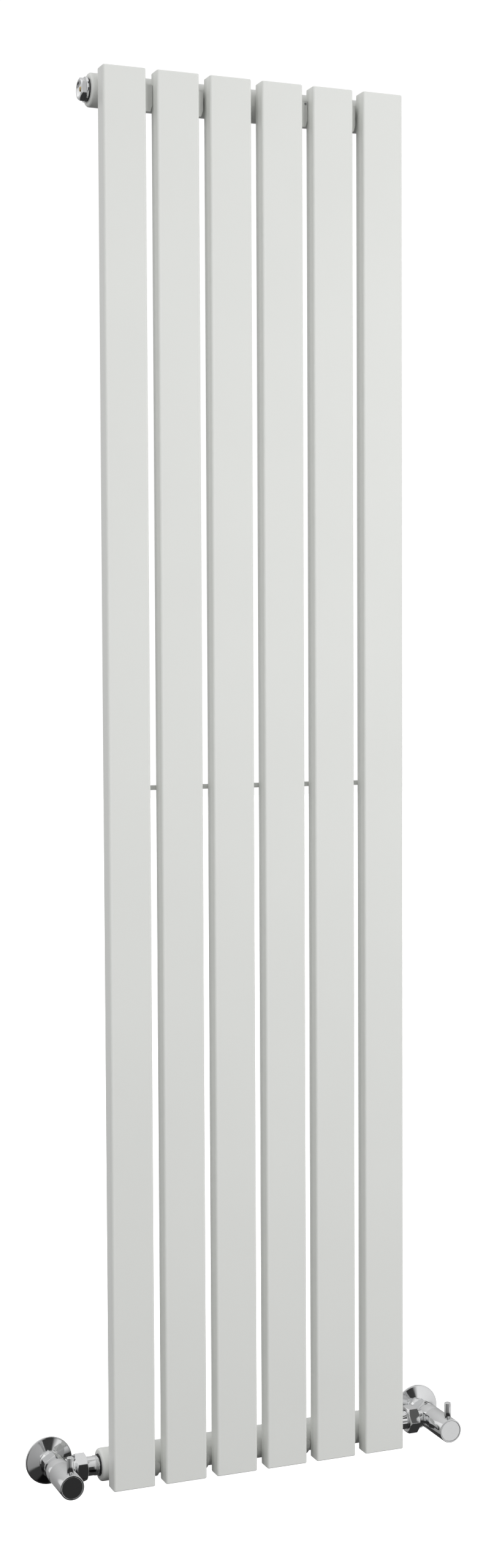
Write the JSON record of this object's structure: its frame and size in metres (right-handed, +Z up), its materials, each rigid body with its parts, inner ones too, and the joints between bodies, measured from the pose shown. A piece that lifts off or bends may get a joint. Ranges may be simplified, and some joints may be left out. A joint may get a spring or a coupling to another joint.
{
  "type": "radiator with valves",
  "caption": "Tall vertical flat-panel radiator in white, with two headers, hidden wall brackets, a bleed vent and chrome angled valves with cylindrical lever handles.",
  "frame": {"origin": "on the wall plane, midway between the two headers and between the two valves", "axes": "+X to the right along the wall, +Y into the wall, +Z up; the panels face -Y"},
  "size_m": [0.496, 0.088, 1.508],
  "materials": {
    "enamel": "white powder coat, satin",
    "bracket_coat": "white powder coat, satin",
    "chrome": "polished chrome plate",
    "rubber": "black rubber, matt",
    "brass": "turned brass",
    "steel": "zinc-plated steel"
  },
  "bodies": {
    "root": {"panel_1": "enamel", "panel_2": "enamel", "panel_3": "enamel", "panel_4": "enamel", "panel_5": "enamel", "panel_6": "enamel", "top_header": "enamel", "bottom_header": "enamel", "mid_rail": "enamel", "top_left_socket": "enamel", "top_right_socket": "enamel", "bottom_left_socket": "enamel", "bottom_right_socket": "enamel", "top_left_bracket": "bracket_coat", "top_right_bracket": "bracket_coat", "bottom_left_bracket": "bracket_coat", "bottom_right_bracket": "bracket_coat", "vent_plug": "chrome", "blanking_plug": "chrome", "left_supply_pipe": "chrome", "left_compression_nut": "chrome", "left_valve_body": "chrome", "left_union_nut": "chrome", "left_tailpiece": "chrome", "right_supply_pipe": "chrome", "right_compression_nut": "chrome", "right_valve_body": "chrome", "right_union_nut": "chrome", "right_tailpiece": "chrome", "vent_seal": "rubber", "blanking_seal": "rubber", "left_tail_seal": "rubber", "left_spindle_seal": "rubber", "right_tail_seal": "rubber", "right_spindle_seal": "rubber", "left_olive": "brass", "left_bonnet": "brass", "right_olive": "brass", "right_bonnet": "brass", "top_left_lock_screw": "steel", "top_right_lock_screw": "steel"},
    "left_handle_body": {"left_handle": "chrome", "left_handle_pin": "chrome", "left_handle_cap": "chrome", "left_handle_screw": "steel", "left_spindle": "brass"},
    "left_jumper_body": {"left_jumper": "brass", "left_valve_washer": "rubber"},
    "left_collar_body": {"left_wall_collar": "chrome"},
    "right_handle_body": {"right_handle": "chrome", "right_handle_pin": "chrome", "right_handle_cap": "chrome", "right_handle_screw": "steel", "right_spindle": "brass"},
    "right_jumper_body": {"right_jumper": "brass", "right_valve_washer": "rubber"},
    "right_collar_body": {"right_wall_collar": "chrome"},
    "bleed_body": {"bleed_screw": "brass"}
  },
  "joints": [
    {"name": "left_handle_turn", "type": "hinge", "parent": "root", "child": "left_handle_body", "pos_m": [-0.222, -0.07, -0.732], "axis": [0, -1, 0], "range_deg": [0, 900]},
    {"name": "left_jumper_lift", "type": "slide", "parent": "root", "child": "left_jumper_body", "axis": [0, -1, 0], "range_m": [0, 0.0041]},
    {"name": "left_collar_slide", "type": "slide", "parent": "root", "child": "left_collar_body", "axis": [0, -1, 0], "range_m": [0, 0.0035]},
    {"name": "right_handle_turn", "type": "hinge", "parent": "root", "child": "right_handle_body", "pos_m": [0.222, -0.07, -0.732], "axis": [0, -1, 0], "range_deg": [0, 900]},
    {"name": "right_jumper_lift", "type": "slide", "parent": "root", "child": "right_jumper_body", "axis": [0, -1, 0], "range_m": [0, 0.0041]},
    {"name": "right_collar_slide", "type": "slide", "parent": "root", "child": "right_collar_body", "axis": [0, -1, 0], "range_m": [0, 0.0035]},
    {"name": "bleed_screw_turn", "type": "hinge", "parent": "root", "child": "bleed_body", "pos_m": [-0.18, -0.0345, 0.732], "axis": [-1, 0, 0], "range_deg": [0, 360]}
  ],
  "couplings": [
    {"joint": "left_jumper_lift", "follows": "left_handle_turn", "m_per_rad": 0.00025465},
    {"joint": "right_jumper_lift", "follows": "right_handle_turn", "m_per_rad": 0.00025465}
  ]
}
